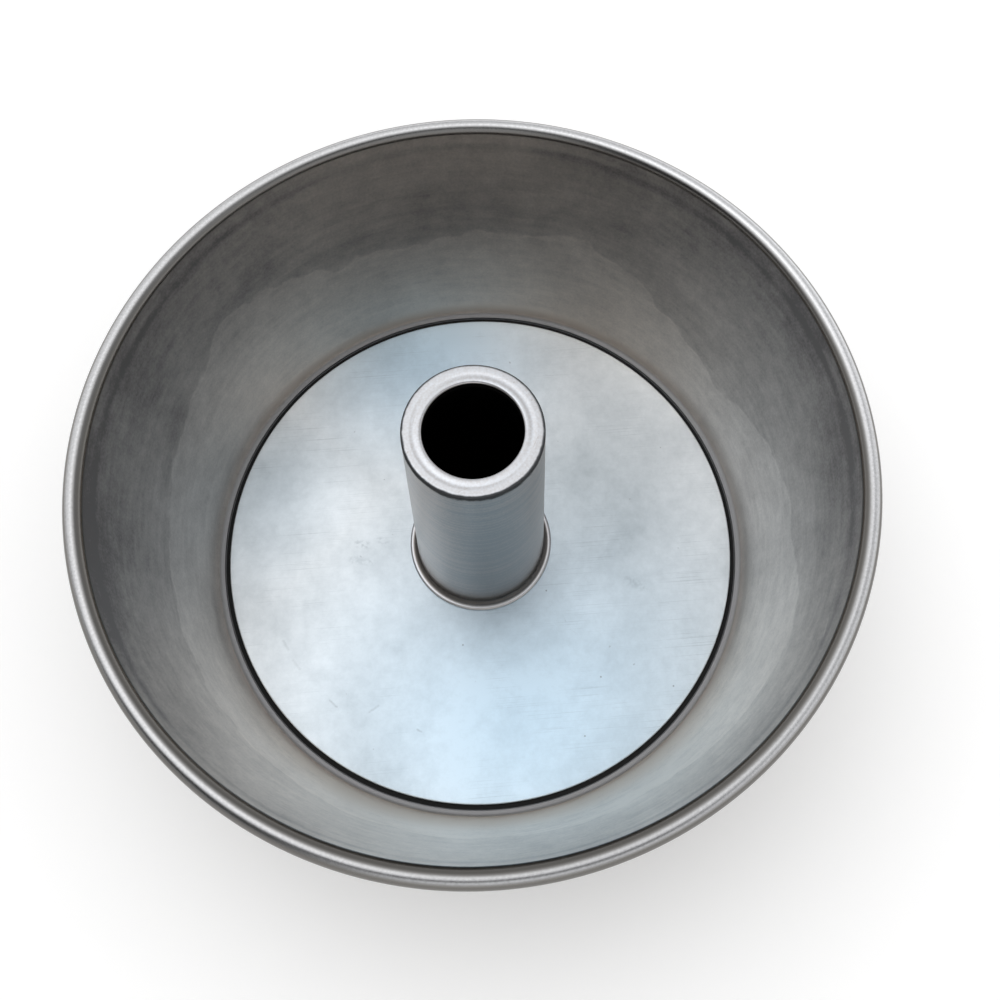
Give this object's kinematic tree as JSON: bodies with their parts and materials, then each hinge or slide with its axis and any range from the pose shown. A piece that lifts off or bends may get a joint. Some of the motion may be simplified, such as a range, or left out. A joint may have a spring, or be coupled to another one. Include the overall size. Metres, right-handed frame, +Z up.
{
  "type": "angel food cake pan",
  "caption": "Round flared aluminium cake pan with a rolled rim, a loose base plate on an inner ledge and a tall hollow centre tube.",
  "frame": {"origin": "on the table, at the middle of the pan's underside", "axes": "+Z up along the tube, which is the pan's axis of turning; +X and +Y are equal by symmetry"},
  "size_m": [0.2691, 0.2692, 0.1214],
  "materials": {
    "spun_aluminium": "satin spun sheet",
    "rolled_aluminium": "smooth rolled sheet with fine scratches",
    "turned_aluminium": "fine turned lines around the tube"
  },
  "bodies": {
    "pan": {"pan_body": "spun_aluminium"},
    "base_insert": {"base_plate": "rolled_aluminium", "center_tube": "turned_aluminium"}
  },
  "joints": [
    {"name": "base_lift", "type": "slide", "parent": "pan", "child": "base_insert", "axis": [0, 0, 1], "range_m": [0, 0.125]}
  ]
}
